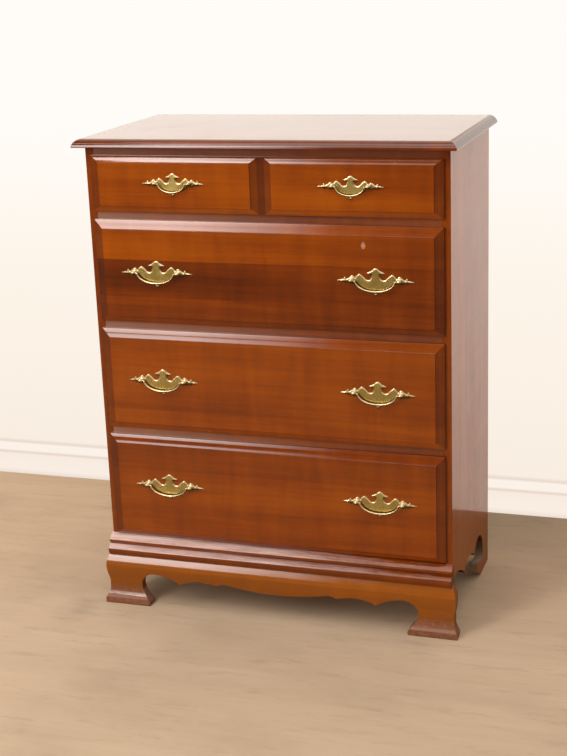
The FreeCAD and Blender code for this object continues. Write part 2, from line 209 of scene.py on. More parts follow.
def worn_base(f, colour, sideways, yellowed):
    """Pale where wood faces up, dusted and with a painted highlight that fades to the right; darker towards
    the floor on the feet; scuffed toes; cut edges with no gloss: the colour and coat.
    """
    upward = f.ramp(f.axis("Z", f.facing), [(0.3, 0.0), (0.75, 1.0)])
    patchy = f.noise(f.stretch((10, 90, 90)), detail=6.0, rough=0.7)
    low_down = f.ramp(f.axis("Z"), [(0.026, 1.0), (0.044, 0.0)])
    upward = f.maths("MULTIPLY", upward, f.maths("MULTIPLY_ADD", low_down, -0.7, 1.0))
    fade_to_right = f.maths("MULTIPLY_ADD", f.axis("X"), -1.3, -0.43)
    # Pale dusted ledges, partly a painted highlight that fades towards the right.
    dust_and_light = f.maths("MULTIPLY", upward, f.maths("MULTIPLY_ADD", patchy, 1.6, fade_to_right, clamp=True))
    colour = f.mix(yellowed, colour, tint(174, 108, 28))
    colour = f.mix(dust_and_light, colour, tint(224, 190, 180))
    # Darker towards the floor, low on the feet.
    colour = f.mix(f.ramp(f.axis("Z"), [(0.034, 0.34), (0.066, 0.0)]), colour, GLAZE_AND_SHADE)
    speckle = f.noise(f.stretch((110, 110, 260)), detail=4.0, rough=0.7)
    scuffed = f.maths("MULTIPLY", low_down, f.ramp(speckle, [(0.42, 0.2), (0.6, 0.8)]))
    colour = f.mix(scuffed, colour, tint(142, 104, 88))
    coat = f.maths("SUBTRACT", f.maths("MULTIPLY_ADD", scuffed, -0.95, 1.0), sideways, clamp=True)
    return colour, coat


def lacquered_cherry(name, grain, seams=(), seed=0.0, lift=0.0, marks=(), wash=0.0, bare_cuts_lit_sides=False,
                     bloom=0.0, satin=0.06, matte=0.0, painted_left_glow=0.0, yellowed=0.0):
    """Cherry under a clear gloss.

    grain is the axis that the fibres follow.  seams are (height in mm, tone) pairs: below that height
    the stave has that tone, from -1 to 1.  marks are pale nicks: (x, z, radius).  wash is how far the
    staves' tones fade out towards the right.  bare_cuts_lit_sides greys the bare saw cuts near the floor,
    dusted and with painted shading, and lightens the faces turned to the sides as painted light instead
    of giving them painted shade.  bloom is the weight of a pale haze that shows at a low angle, satin the
    level of a soft shine under the gloss, matte the roughness added to it, and painted_left_glow how much
    of a pale painted reflection is mixed in, strongest towards the left.  yellowed is for the base, dusted,
    with a painted highlight on its ledges and with its scuffs: how far its wood has turned to ochre.
    """
    f = Finish(name)

    def fibres(lengthwise, crosswise, shift):
        shifts = (shift + seed, shift * 0.7 - seed, shift * 1.3 + 2 * seed)
        return f.stretch(grain_scale(grain, lengthwise, crosswise), shifts)

    figure = f.noise(fibres(0.9, 9.0, 3.1), detail=3.0, rough=0.5, distortion=0.9)
    streaks = f.noise(fibres(3.0, 95.0, 7.7), detail=5.0, rough=0.65, distortion=0.25)
    threads = f.noise(fibres(9.0, 420.0, 1.9), detail=3.0, rough=0.6)
    curl = f.noise(fibres(26.0, 5.0, 5.3), detail=2.0, rough=0.5, distortion=0.5)
    tone = 0.5 + lift
    for pattern, amount in ((figure, 0.62), (streaks, 0.34), (threads, 0.16), (curl, 0.32)):
        tone = f.vary(pattern, amount, tone)
    edgewise = f.maths("ABSOLUTE", f.axis("X", f.facing))
    if bare_cuts_lit_sides:
        outside = f.ramp(edgewise, [(0.4, 0.0), (0.6, 1.0)])
        # Faces turned to the sides are lightened: painted light.
        tone = f.maths("MULTIPLY_ADD", outside, 0.36, tone)
    if seams:
        tone = stave_tones(f, tone, streaks, seams, wash)
    colour = f.ramp(tone, [(0.1, CHERRY["deep"]), (0.34, CHERRY["dark"]), (0.55, CHERRY["body"]),
                           (0.9, CHERRY["light"])])
    flecks = f.ramp(f.noise(fibres(38.0, 620.0, 9.1), detail=1.0), [(0.66, 0.0), (0.74, 1.0)])
    colour = f.mix(f.maths("MULTIPLY", flecks, 0.35), colour, CHERRY["deep"])
    # Painted shade where the points carry it: round the lips, in the valley, in the creases at the fields'
    # edges and in the top's step.
    colour = f.mix(f.maths("MULTIPLY", f.point_shade("shade"), 0.75), colour, GLAZE_AND_SHADE)
    sideways = f.ramp(edgewise, [(0.08, 0.0), (0.24, 0.52)])
    # Faces turned sideways, such as the side bevels, are darkened with painted shade.
    if not bare_cuts_lit_sides:
        colour = f.mix(sideways, colour, GLAZE_AND_SHADE)
    # A pale painted reflection mixed in, strongest at the left.
    if painted_left_glow:
        left = f.maths("MULTIPLY_ADD", f.axis("X"), -1.1 * painted_left_glow, 0.12 * painted_left_glow, clamp=True)
        colour = f.mix(left, colour, tint(182, 138, 118))
    roughness = f.maths("MULTIPLY_ADD", f.noise(f.place, scale=7.0, detail=3.0), 0.16, 0.24 + matte)
    for x, z, radius in marks:
        spot = f.vary(threads, radius * MM, f.distance(at(x, -FIELD, z), (1, 0.2, 0.6)))
        chip = f.ramp(f.maths("DIVIDE", spot, 2 * radius * MM), [(0.35, 1.0), (0.5, 0.0)])
        colour = f.mix(f.maths("MULTIPLY", chip, 0.6), colour, tint(214, 160, 132))
    coat = 1.0
    if bloom:
        coat = f.ramp(f.noise(f.place, scale=9.0, detail=6.0, rough=0.7), [(0.56, 1.0), (0.68, 0.75)])
    if bare_cuts_lit_sides:
        colour, roughness, coat = saw_cuts(f, colour, roughness, streaks, outside)
    if yellowed:
        colour, coat = worn_base(f, colour, sideways, yellowed)
    pores = f.bump(threads, 0.12, 0.0004)
    waves = f.bump(f.noise(f.place, scale=22.0, detail=2.0), 0.1, 0.002, pores)
    f.set(Base_Color=colour, Roughness=roughness, Normal=waves, Coat_Weight=coat, Coat_Roughness=0.08,
          Coat_IOR=1.6, Sheen_Weight=bloom, Sheen_Roughness=0.35, Specular_IOR_Level=satin)
    return f.material


def bare_wood(name, grain):
    """Unfinished poplar or pine for the parts inside."""
    f = Finish(name)
    rings = f.noise(f.stretch(grain_scale(grain, 0.8, 7.0)), detail=3.0, distortion=1.4)
    fibres = f.noise(f.stretch(grain_scale(grain, 5.0, 160.0)), detail=4.0)
    tone = f.vary(fibres, 0.5, rings)
    colour = f.ramp(tone, [(0.3, tint(168, 128, 80)), (0.65, tint(206, 172, 122))])
    f.set(Base_Color=colour, Roughness=f.maths("MULTIPLY_ADD", fibres, 0.15, 0.6),
          Normal=f.bump(fibres, 0.25, 0.0005))
    return f.material


def brass():
    """Lacquered brass with painted shade where it faces down and where the points carry it, and a painted
    highlight where it faces up.
    """
    f = Finish("polished brass")
    cloud = f.noise(f.place, scale=38.0, detail=4.0)
    scratch = f.noise(f.stretch((900, 900, 240)), detail=3.0)
    colour = f.ramp(cloud, [(0.3, tint(214, 180, 92)), (0.7, tint(238, 208, 126))])
    # Painted shade on faces turned down, and where the points carry it.
    under = f.ramp(f.maths("MULTIPLY_ADD", f.axis("Z", f.facing), -0.5, 0.5), [(0.505, 0.0), (0.56, 0.92)])
    colour = f.mix(f.maths("MAXIMUM", under, f.point_shade("shade")), colour, tint(60, 40, 16))
    # Painted highlight on faces turned up.
    above = f.ramp(f.axis("Z", f.facing), [(0.08, 0.0), (0.2, 1.0)])
    colour = f.mix(f.maths("MULTIPLY", above, 0.7), colour, tint(255, 232, 184))
    f.set(Base_Color=colour, Metallic=f.maths("MULTIPLY_ADD", above, -0.4, 0.85),
          Roughness=f.maths("MULTIPLY_ADD", cloud, 0.14, 0.2), Coat_Weight=1.0, Coat_Roughness=0.06,
          Normal=f.bump(scratch, 0.03, 0.0002))
    return f.material


def plated_steel():
    f = Finish("zinc plated steel")
    cloud = f.noise(f.place, scale=160.0, detail=4.0)
    f.set(Base_Color=f.ramp(cloud, [(0.3, tint(140, 142, 142)), (0.7, tint(188, 188, 182))]),
          Metallic=1.0, Roughness=f.maths("MULTIPLY_ADD", cloud, 0.25, 0.25))
    return f.material


def hardboard():
    """The thin back: pressed brown board with a leathery face."""
    f = Finish("brown hardboard")
    mottle = f.noise(f.place, scale=26.0, detail=6.0, rough=0.7)
    grit = f.noise(f.place, scale=520.0, detail=3.0)
    tone = f.vary(grit, 0.5, mottle)
    f.set(Base_Color=f.ramp(tone, [(0.3, tint(98, 68, 42)), (0.7, tint(136, 98, 62))]),
          Roughness=0.62, Normal=f.bump(grit, 0.3, 0.0006))
    return f.material


# Shapes --------------------------------------------------------------------------------------

def placed(name, data):
    """Puts an object with that mesh, lamp or camera in the scene."""
    made = bpy.data.objects.new(name, data)
    bpy.context.scene.collection.objects.link(made)
    return made


def smooth(mesh, sharp):
    """Shades a mesh smooth; edges sharper than the angle stay crisp."""
    for polygon in mesh.polygons:
        polygon.use_smooth = True
    mesh.set_sharp_from_angle(angle=math.radians(sharp))


def piece(name, points, faces, finish, sharp, shade=None):
    """A closed mesh with its faces outwards; shade is a number for each point."""
    mesh = bpy.data.meshes.new(name)
    mesh.from_pydata([tuple(p) for p in points], [], faces)
    made = bmesh.new()
    made.from_mesh(mesh)
    bmesh.ops.recalc_face_normals(made, faces=made.faces)
    made.to_mesh(mesh)
    made.free()
    smooth(mesh, sharp)
    if shade:
        mesh.attributes.new("shade", "FLOAT", "POINT").data.foreach_set("value", shade)
    mesh.materials.append(finish)
    return placed(name, mesh)


def skin(rings, base=0):
    """Faces round a stack of rings with equal numbers of points, and over both ends."""
    count = len(rings[0])
    last = base + (len(rings) - 1) * count
    faces = [tuple(range(base, base + count))[::-1], tuple(range(last, last + count))]
    for low in range(base, last, count):
        for i in range(count):
            j = (i + 1) % count
            faces.append((low + i, low + j, low + count + j, low + count + i))
    return faces


def loft(name, rings, finish, sharp, shade=None):
    """A piece skinned over rings; shade is a number for each ring."""
    points = [p for ring in rings for p in ring]
    spread = [s for s in shade for _ in rings[0]] if shade else None
    return piece(name, points, skin(rings), finish, sharp, spread)


def arc(start, middle, end, step):
    """Points along the arc through three 2D points, after the start, about a step apart."""
    (ax, ay), (bx, by), (cx, cy) = start, middle, end
    cross = 2 * (ax * (by - cy) + bx * (cy - ay) + cx * (ay - by))
    a2, b2, c2 = ax * ax + ay * ay, bx * bx + by * by, cx * cx + cy * cy
    ux = (a2 * (by - cy) + b2 * (cy - ay) + c2 * (ay - by)) / cross
    uy = (a2 * (cx - bx) + b2 * (ax - cx) + c2 * (bx - ax)) / cross
    radius = math.hypot(ax - ux, ay - uy)
    first, second, last = (math.atan2(y - uy, x - ux) for x, y in (start, middle, end))
    turn = (last - first) % math.tau
    if (second - first) % math.tau > turn:
        turn -= math.tau
    count = max(2, round(abs(turn) * radius / step))
    angles = [first + turn * i / count for i in range(1, count + 1)]
    return [(ux + radius * math.cos(a), uy + radius * math.sin(a)) for a in angles]


def outline(start, steps, step=1.5):
    """Points of an outline.  A step is a point, or an arc's middle and end; straight runs are divided."""
    points = [start]
    for target in steps:
        if isinstance(target[0], tuple):
            points += arc(points[-1], *target, step)
        else:
            (ax, ay), (bx, by) = points[-1], target
            count = max(1, round(math.hypot(bx - ax, by - ay) / (4 * step)))
            points += [(ax + (bx - ax) * i / count, ay + (by - ay) * i / count) for i in range(1, count + 1)]
    return points


def both_halves(half):
    """A right half drawn from the middle at the bottom round to the middle at the top, and its mirror."""
    return half + [(-x, y) for x, y in reversed(half[1:-1])]


# Top board -----------------------------------------------------------------------------------

def top_board():
    """Moulded on the front and both ends: a leaning bead below, a small step, and a thumbnail slope."""
    low, high = box_mm("top_board")
    profile = [(2.0, 0.0), (0.5, 0.6), (0.0, 2.0)]
    profile += arc(profile[-1], (0.55, 4.9), (1.9, 7.6), 0.7)
    profile += [(2.6, 8.2), (2.9, 8.8), (3.0, 9.3)]
    profile += arc(profile[-1], (8.8, 14.7), (18.6, 17.9), 1.0)
    profile += [(20.0, 18.0), (21.5, 18.0)]
    rings = []
    for inset, rise in profile:
        left, right, front, z = low[0] + inset, high[0] - inset, low[1] + inset, low[2] + rise
        rings.append([at(left, high[1], z), at(left, front, z), at(right, front, z), at(right, high[1], z)])
    # Painted shade in the small step between the bead and the slope.
    shade = [0.8 if 8.0 < rise < 9.2 else 0.0 for _, rise in profile]
    finish = lacquered_cherry("top board cherry", "X", seed=4.0, lift=0.1, bloom=0.8)
    board = loft("moulded_top", rings, finish, 24.0, shade)
    # The moulded edges take a darker copy of the top's cherry with no haze; its darker tone is painted
    # shade.
    board.data.materials.append(lacquered_cherry("top edge cherry", "X", seed=5.0, lift=-0.24))
    for polygon in board.data.polygons:
        polygon.material_index = 0 if polygon.normal.z > 0.99 else 1
    return board


# Drawer fronts -------------------------------------------------------------------------------

CORE_DEPTH = 6.0              # how far a front reaches back into the case's opening
LIP_BACK = 0.5                # from the case's face out to the back of a lip
RIM = 6.0                     # from the case's face out to a front's rim
FIELD = 13.0                  # and out to its raised field
EASE = 0.25                   # radius of the rim's outer edge
STEP = 1.6                    # height of the step at the field's edge


def rim_profile():
    """The eased outer edge of a front, from the back of its lip: (inset, reach) in mm."""
    points = [(0, LIP_BACK), (0, RIM - EASE)]
    for angle in (18, 36, 54, 72):
        turn = math.radians(angle)
        points.append((EASE * (1 - math.cos(turn)), RIM - EASE + EASE * math.sin(turn)))
    return points


def slope_profile():
    """A bevel from the rim up to the field: (share of its run, inset past that, reach, shade)."""
    rise = FIELD - STEP - RIM
    points = [(run, 0, RIM + rise * climb, 0.0) for run, climb in (
        (0.15, 0.1725), (0.3, 0.345), (0.38, 0.417), (0.48, 0.487), (0.58, 0.557), (0.66, 0.629),
        (0.83, 0.8145), (1, 1))]
    # The step at the field's edge carries painted shade in its crease.
    points += [(1, 0.25, FIELD - STEP + 0.25, 0.7), (1, 0.4, FIELD - STEP + 0.8, 0.7)]
    for angle in (0, 30, 60, 90):
        turn = math.radians(angle)
        points.append((1, 0.45 + 0.55 * (1 - math.cos(turn)), FIELD - 0.55 + 0.55 * math.sin(turn), 0.05))
    return points + [(1, 1.5, FIELD, 0.0)]


def drawer_front(node, name, bevels, valley, finish):
    """A lipped front with one raised field, or two with a flat valley between them.

    bevels are the widths of the slopes at the sides, beside the valley, at the bottom and at the top.
    """
    low, high = box_mm(node)
    side, inner, bottom, top = bevels
    left_side = box_mm(node.replace("_front", "_side_left"))
    right_side = box_mm(node.replace("_front", "_side_right"))
    core = (left_side[0][0], right_side[1][0], low[2] + 0.2, left_side[1][2] + 3)
    splits = (-valley / 2, valley / 2) if valley else ()
    points, faces, shade = [], [], []

    def ring(x0, x1, z0, z1, y, tone, splits=()):
        first = len(points)
        across = (x0,) + splits + (x1,)
        points.extend([at(x, y, z0) for x in across] + [at(x, y, z1) for x in reversed(across)])
        shade.extend([tone] * 2 * len(across))
        return list(range(first, len(points)))

    def join(below, above):
        for a, b, c, d in zip(below, below[1:] + below[:1], above[1:] + above[:1], above):
            faces.append((a, b, c, d))

    rim = ring(*core, CORE_DEPTH, 0.0, splits)
    faces.append(tuple(rim))
    inner_rings = [(*core, -LIP_BACK, 0.0, splits)]
    # The lip's outer faces carry painted shade, for the shadow in the gap round each lip.
    inner_rings += [(low[0] + inset, high[0] - inset, low[2] + inset, high[2] - inset, -reach,
                     0.0 if inset else 0.8, splits) for inset, reach in rim_profile()]
    for values in inner_rings:
        above = ring(*values)
        join(rim, above)
        rim = above
    ease = rim_profile()[-1][0]
    x0, x1, z0, z1 = low[0] + ease, high[0] - ease, low[2] + ease, high[2] - ease
    fields = [(rim, x0, x1, side - ease, side - ease)]
    if valley:
        faces.append((rim[1], rim[2], rim[5], rim[6]))
        # Painted shade along the valley between the two fields.
        for index in (1, 2, 5, 6):
            shade[rim[index]] = 1.0
        fields = [([rim[0], rim[1], rim[6], rim[7]], x0, -valley / 2, side - ease, inner),
                  (rim[2:6], valley / 2, x1, inner, side - ease)]
    for loop, x0, x1, run_left, run_right in fields:
        for share, inset, reach, tone in slope_profile():
            left, right, low_run, high_run = (inset + share * (run - 1) for run in
                                              (run_left, run_right, bottom - ease, top - ease))
            above = ring(x0 + left, x1 - right, z0 + low_run, z1 - high_run, -reach, tone)
            join(loop, above)
            loop = above
        faces.append(tuple(loop))
    return piece(name, points, faces, finish, 16.0, shade)


# Base ----------------------------------------------------------------------------------------

def moulding_section():
    """The two beads in section: (y, z) in mm, closed along the case."""
    section = outline((0, 165), [(-0.8, 165)], 0.8)
    section += arc(section[-1], (-9.6, 160.2), (-17.2, 154.3), 2.0)
    section += arc(section[-1], (-18.3, 153.2), (-18.5, 151.6), 0.6)
    section += arc((-18.5, 149), (-18.1, 147.9), (-17, 147), 0.6)
    section += [(-14.2, 144.2), (-13.6, 143.3), (-13.9, 142.5)]
    section += arc(section[-1], (-20.2, 139.7), (-25.8, 136.1), 2.0)
    section += arc(section[-1], (-27.1, 134.7), (-27.5, 132.6), 0.6)
    section += arc(section[-1], (-26.8, 124.6), (-22.4, 118.4), 1.5)
    return section + [(-21.2, 117.6), (-20.8, 117), (0, 117)]


def base_moulding(finish):
    low, high = box_mm("base_moulding")
    section = moulding_section()
    inset = 0.8
    rings = []
    for x, shrink in ((low[0], inset), (low[0] + inset, 0.0), (high[0] - inset, 0.0), (high[0], inset)):
        rings.append([at(x, min(0.0, y + shrink), z) for y, z in section])
    return loft("base_beads", rings, finish, 24.0)


APRON_CUTS = {24.0, 38.0, 50.0, 56.0}    # extra heights where its face is divided


def apron_face():
    """The apron's face in section from its foot to its top: (z, reach in mm)."""
    points = [(0.0, 30.4), (1.0, 31.6), (3.0, 32.0), (13.6, 32.0), (14.9, 31.6)]
    points += arc((15.5, 31.0), (22.8, 24.4), (32.0, 20.8), 1.5)
    points += arc(points[-1], (46.0, 19.7), (62.0, 20.5), 3.0)
    points += arc(points[-1], (76.0, 24.6), (94.0, 28.2), 2.0)
    return points + [(97.0, 27.8), (100.0, 27.1), (103.5, 25.9), (107.5, 24.2), (112.0, 22.1), (117.0, 19.6)]


def reach_at(z, points):
    for (z0, r0), (z1, r1) in zip(points, points[1:]):
        if z0 <= z <= z1:
            return r0 + (r1 - r0) * (z - z0) / (z1 - z0)
    return points[-1][1]


def apron_outline():
    """The lower edge scalloped between two bracket feet, seen from in front."""
    half = outline((0, 57), [
        ((78, 62), (124, 70.5)), (144, 63.6), ((190, 69.6), (231, 57)), ((253, 70), (286, 78.4)),
        ((312, 72), (325, 56)), ((325, 42), (317, 25)), (305, 10), ((304.5, 4), (308, 0)), (412, 0),
        (414, 2), (414, 12), ((408.5, 22), (405.2, 33)), (405.5, 54), ((409.6, 76), (408, 104)),
        (403.5, 117)])
    return half + [(-x, z) for x, z in reversed(half[1:])]


def base_apron(finish):
    """Cut from one thick board: the outline first, then the ogee worked along its whole face."""
    face_profile = apron_face()
    made = bmesh.new()
    made.faces.new([made.verts.new(at(x, 0, z)) for x, z in apron_outline()])
    levels = sorted({round(z, 2) for z, _ in face_profile} | APRON_CUTS)
    for z in levels[1:-1]:
        bmesh.ops.bisect_plane(made, geom=made.verts[:] + made.edges[:] + made.faces[:], dist=1e-6,
                               plane_co=at(0, 0, z), plane_no=(0, 0, 1))
    front = bmesh.ops.extrude_face_region(made, geom=made.faces[:])
    for vertex in [g for g in front["geom"] if isinstance(g, bmesh.types.BMVert)]:
        vertex.co.y = CASE_FRONT - reach_at(vertex.co.z / MM, face_profile) * MM
    bmesh.ops.recalc_face_normals(made, faces=made.faces)
    corners = [e for e in made.edges if e.is_manifold and e.calc_face_angle(0) > math.radians(48)]
    bmesh.ops.bevel(made, geom=corners, offset=0.8 * MM, segments=2, affect="EDGES", clamp_overlap=True)
    mesh = bpy.data.meshes.new("apron_and_feet")
    made.to_mesh(mesh)
    made.free()
    smooth(mesh, 28.0)
    mesh.materials.append(finish)
    return placed("apron_and_feet", mesh)


# Pulls ---------------------------------------------------------------------------------------

PLATE_THICKNESS = 3.3
PLATE_EDGE = 2.6              # width of its sloping border
PLATE_FALL = 1.1              # drop of that border from the face to the wall
PLATE_ROWS = (0.35, 0.8, 1.35, 1.95, PLATE_EDGE)
PLATE_SPACING = 0.85          # of the points inside that border
PLATE_LIMITS = (82, 34)       # a large plate's points lie within these, across and up
# A pull's plate is scaled across and up; the boring between its posts and its rod's radius are in mm.
LARGE_PULL = dict(scale=(1.0, 1.0), boring=101.6, rod=1.9)
SMALL_PULL = dict(scale=(0.86, 0.83), boring=76.2, rod=1.6)
POST_REACH = 11.0
POST_SEGMENTS = 28
SHANK = 2.0                   # radius of a post where it goes through the front
# A nut is (reach, radius) pairs in mm, a collar (reach past the plate, radius against the ball's).
NUT = ((-26.4, 0.6), (-26.2, 1.7), (-22.4, SHANK), (-22.4, 3.2), (-22.0, 4.4), (-19.4, 4.6), (-19.1, 4.5))
COLLAR = ((-0.4, 1.16), (0.5, 1.2), (1.3, 1.05), (1.7, 0.78), (2.6, 0.62))
BAIL_DEPTH = 22.0             # from the pins of a large bail to the lowest point of its bow
BAIL_GAP = 1.6                # between a ball and the bow of its bail
BAIL_CORNERS = 8              # corners that are rounded into the bow's half ellipse
BAIL_SOFTNESS = 0.45          # part of the shorter run beside a corner that its arc takes
PLATE_HALF = outline((0, -32.6), [
    ((3, -30.2), (1.6, -27)), (2.4, -21.8), ((22.5, -18.6), (36.8, -9.4)), (42, -4.6),
    ((49, -7.8), (57, -5.4)), (62.5, -4.6), (64.8, -7.4), (66.8, -4.2), (81.8, -1.2), (67.8, 2),
    ((67.4, 4.8), (65, 6.6)), (62.8, 1.8), ((56.8, 5.2), (52.6, 8.8)), ((50, 9.6), (47.4, 8.4)),
    (43.8, 4.8), ((40.6, 9.2), (37.4, 12.2)), ((34.8, 13.2), (32, 12)), ((27, 8.2), (22.8, 3.9)),
    ((17.2, 0.9), (11.8, 2.4)), ((9.8, 4.6), (9, 8)), (8.4, 11.6), ((12.6, 12.6), (18.4, 14.8)),
    (17.8, 16.4), ((12.6, 18.6), (7.4, 21.4)), ((3.4, 24.8), (0, 25.8))], 0.8)


def inside(x, z, polygon):
    odd = False
    for (ax, az), (bx, bz) in zip(polygon, polygon[1:] + polygon[:1]):
        if (az > z) != (bz > z) and x < (bx - ax) * (z - az) / (bz - az) + ax:
            odd = not odd
    return odd


def edge_distance(x, z, polygon):
    best = 1e9
    for (ax, az), (bx, bz) in zip(polygon, polygon[1:] + polygon[:1]):
        dx, dz = bx - ax, bz - az
        share = max(0.0, min(1.0, ((x - ax) * dx + (z - az) * dz) / (dx * dx + dz * dz or 1.0)))
        best = min(best, math.hypot(x - ax - share * dx, z - az - share * dz))
    return best


@functools.cache
def plate_shape(scale_x, scale_z):
    """A batwing plate about its middle: its points, its faces, and where its border's points went."""
    border = both_halves([(x * scale_x, z * scale_z) for x, z in PLATE_HALF])
    corners = [Vector(p) for p in border]
    flat = list(corners)
    for row in PLATE_ROWS:
        for before, here, after in zip(corners[-1:] + corners[:-1], corners, corners[1:] + corners[:1]):
            along = (after - before).normalized()
            spot = here + Vector((-along.y, along.x)) * row
            if inside(spot.x, spot.y, border) and edge_distance(spot.x, spot.y, border) > 0.94 * row:
                flat.append(spot)
    columns = int(PLATE_LIMITS[0] * scale_x / PLATE_SPACING)
    rows = int(PLATE_LIMITS[1] * scale_z / PLATE_SPACING)
    margin = PLATE_EDGE + 0.4 * PLATE_SPACING
    for i in range(-columns, columns + 1):
        for j in range(-rows, rows + 1):
            x, z = (i + 0.5 * (j % 2)) * PLATE_SPACING, j * PLATE_SPACING
            if inside(x, z, border) and edge_distance(x, z, border) > margin:
                flat.append(Vector((x, z)))
    edges = [(i, (i + 1) % len(border)) for i in range(len(border))]
    flat, _, triangles, origins, *_ = delaunay_2d_cdt(flat, edges, [], 1, 1e-5)
    middles = [sum((flat[i] for i in t), Vector((0, 0))) / 3 for t in triangles]
    triangles = [tuple(t) for t, middle in zip(triangles, middles) if inside(*middle, border)]
    points = []
    for p in flat:
        depth = min(1.0, edge_distance(p.x, p.y, border) / PLATE_EDGE)
        points.append((p.x, PLATE_THICKNESS - PLATE_FALL * (1 - depth) ** 1.7, p.y))
    found = {first: i for i, sources in enumerate(origins) for first in sources}
    return points, triangles, [(found[i], corner) for i, corner in enumerate(border)]


def pull_plates(name, centres, z, plate, finish):
    """The two plates of a drawer; the foot of their edge carries painted shade."""
    points, faces, shade = [], [], []
    shape, triangles, border = plate
    count = len(border)
    for x in centres:
        base = len(points)
        points += [at(x + px, -FIELD - height, z + pz) for px, height, pz in shape]
        faces += [tuple(base + i for i in t) for t in triangles]
        foot = len(points)
        points += [at(x + bx, -FIELD, z + bz) for _, (bx, bz) in border]
        # The foot of the edge carries painted shade.
        shade += [0.0] * len(shape) + [0.6] * count
        for i in range(count):
            j = (i + 1) % count
            faces.append((base + border[i][0], base + border[j][0], foot + j, foot + i))
        faces.append(tuple(foot + i for i in range(count)))
    return piece(name, points, faces, finish, 38.0, shade)


def lathe_rings(profile, x, z):
    """Rings about an axis along y; the profile is (reach from the field, radius) in mm."""
    turns = [math.tau * i / POST_SEGMENTS for i in range(POST_SEGMENTS)]
    return [[at(x + radius * math.cos(turn), -FIELD - reach, z + radius * math.sin(turn)) for turn in turns]
            for reach, radius in profile]


def post_profile(ball):
    """From inside the drawer out: nut, shank, collar on the plate, neck and ball."""
    profile = list(NUT) + [(NUT[-1][0], SHANK), (PLATE_THICKNESS + COLLAR[0][0], SHANK)]
    profile += [(PLATE_THICKNESS + reach, ball * size) for reach, size in COLLAR]
    for angle in range(-50, 91, 10):
        turn = math.radians(angle)
        profile.append((POST_REACH + ball * math.sin(turn), max(0.05, ball * math.cos(turn))))
    return profile


def pull_posts(name, centres, z, boring, ball, finish):
    """Two posts for each of a drawer's two pulls."""
    points, faces = [], []
    for x in centres:
        for side in (-1, 1):
            rings = lathe_rings(post_profile(ball), x + side * boring / 2, z)
            faces += skin(rings, len(points))
            points += [p for ring in rings for p in ring]
    return piece(name, points, faces, finish, 30.0)


def rod_tree():
    """Geometry nodes: a round rod along a path, thicker in the middle and thin where it enters the posts."""
    tree = bpy.data.node_groups.new("bail rod", "GeometryNodeTree")
    face = tree.interface
    face.new_socket("Path", in_out="INPUT", socket_type="NodeSocketGeometry")
    for label, value in (("Rod radius", 0.0019), ("Pin share", 0.62), ("Belly", 0.16)):
        face.new_socket(label, in_out="INPUT", socket_type="NodeSocketFloat").default_value = value
    face.new_socket("Metal", in_out="INPUT", socket_type="NodeSocketMaterial")
    face.new_socket("Rod", in_out="OUTPUT", socket_type="NodeSocketGeometry")
    given = tree.nodes.new("NodeGroupInput").outputs
    along = add_node(tree, "GeometryNodeSplineParameter", output="Factor")
    off_middle = maths(tree, "ABSOLUTE", maths(tree, "SUBTRACT", along, 0.5))
    ends = add_node(tree, "ShaderNodeMapRange", {
        "Value": off_middle, "From Min": 0.465, "From Max": 0.445, "To Min": given["Pin share"],
        "To Max": 1.0}, "Result")
    middle = maths(tree, "MULTIPLY_ADD", off_middle, -2.4, 1.0, clamp=True)
    swell = maths(tree, "MULTIPLY_ADD", middle, given["Belly"], ends)
    size = maths(tree, "MULTIPLY", swell, given["Rod radius"])
    line = add_node(tree, "GeometryNodeMeshToCurve", {0: given["Path"]})
    line = add_node(tree, "GeometryNodeSetCurveRadius", {"Curve": line, "Radius": size})
    section = add_node(tree, "GeometryNodeCurvePrimitiveCircle", {"Resolution": 20, "Radius": 1.0})
    sweep = tree.nodes.new("GeometryNodeCurveToMesh")
    for label, value in (("Curve", line), ("Profile Curve", section), ("Fill Caps", True)):
        feed(tree, sweep.inputs[label], value)
    if "Scale" in sweep.inputs:
        feed(tree, sweep.inputs["Scale"], size)
    real = add_node(tree, "GeometryNodeRealizeInstances", {0: sweep.outputs[0]})
    rod = add_node(tree, "GeometryNodeSetMaterial", {"Geometry": real, "Material": given["Metal"]})
    feed(tree, tree.nodes.new("NodeGroupOutput").inputs[0], rod)
    return tree


def grown(name, path, tree, radius, finish):
    """Runs the rod's tree on an open path of points, and keeps the result as a plain mesh."""
    mesh = bpy.data.meshes.new(name)
    mesh.from_pydata([tuple(p) for p in path], [(i, i + 1) for i in range(len(path) - 1)], [])
    made = placed(name, mesh)
    modifier = made.modifiers.new("grow", "NODES")
    modifier.node_group = tree
    given = {"Rod radius": radius * MM, "Metal": finish}
    for item in tree.interface.items_tree:
        if item.in_out == "INPUT" and item.name in given:
            modifier[item.identifier] = given[item.name]
    result = bpy.data.meshes.new_from_object(made.evaluated_get(bpy.context.evaluated_depsgraph_get()))
    made.modifiers.remove(modifier)
    made.data = result
    smooth(result, 40.0)
    return made


def rounded(points, radii, step=0.8):
    """A path of straight runs joined by tangent arcs, as points in the same plane."""
    path = [points[0]]
    for before, corner, after, radius in zip(points, points[1:], points[2:], radii):
        into, out = (corner - before).normalized(), (after - corner).normalized()
        half_turn = into.angle(out) / 2
        reach = radius * math.tan(half_turn)
        inward = (out - into).normalized()
        centre = corner + inward * radius / math.cos(half_turn)
        start = corner - into * reach - centre
        axis = into.cross(out)
        count = max(3, round(2 * half_turn * radius / step))
        for i in range(count + 1):
            path.append(centre + Matrix.Rotation(2 * half_turn * i / count, 3, axis) @ start)
    return path + [points[-1]]


